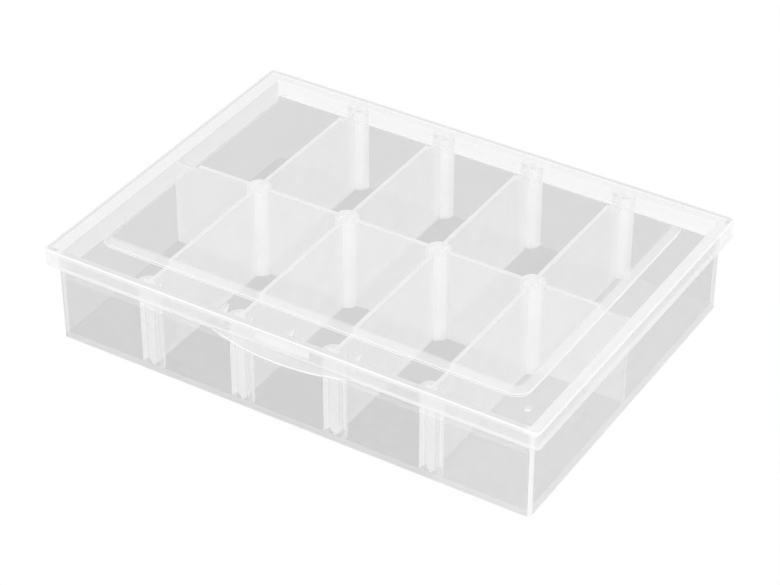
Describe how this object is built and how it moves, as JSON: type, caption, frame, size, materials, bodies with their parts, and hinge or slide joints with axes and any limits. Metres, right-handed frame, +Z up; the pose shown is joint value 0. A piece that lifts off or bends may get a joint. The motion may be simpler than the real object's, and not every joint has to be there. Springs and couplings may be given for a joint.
{
  "type": "compartment organizer box",
  "caption": "Shallow frosted clear box with a full-width hinged snap lid, a fixed middle wall and lift-out dividers in post guides, for beads and small parts.",
  "frame": {"origin": "centre of the tray's flat underside, midway between the side walls and between the front and rear walls", "axes": "+X to the right along the front, +Y from the thumb tab towards the hinge, +Z up"},
  "size_m": [0.27, 0.204, 0.0546],
  "materials": {
    "tray_plastic": "clear frosted polypropylene, light satin",
    "lid_plastic": "clear frosted polypropylene, smooth",
    "divider_plastic": "clear frosted polypropylene, light satin"
  },
  "bodies": {
    "tray_body": {"tray": "tray_plastic", "divider_front_1": "divider_plastic", "divider_front_2": "divider_plastic", "divider_front_3": "divider_plastic", "divider_front_4": "divider_plastic", "divider_rear_1": "divider_plastic", "divider_rear_2": "divider_plastic", "divider_rear_3": "divider_plastic", "divider_rear_4": "divider_plastic"},
    "lid_body": {"lid": "lid_plastic"}
  },
  "joints": [
    {"name": "lid_hinge", "type": "hinge", "parent": "tray_body", "child": "lid_body", "pos_m": [0, 0.09795, 0.0415], "axis": [-1, 0, 0], "range_deg": [0, 110]}
  ]
}
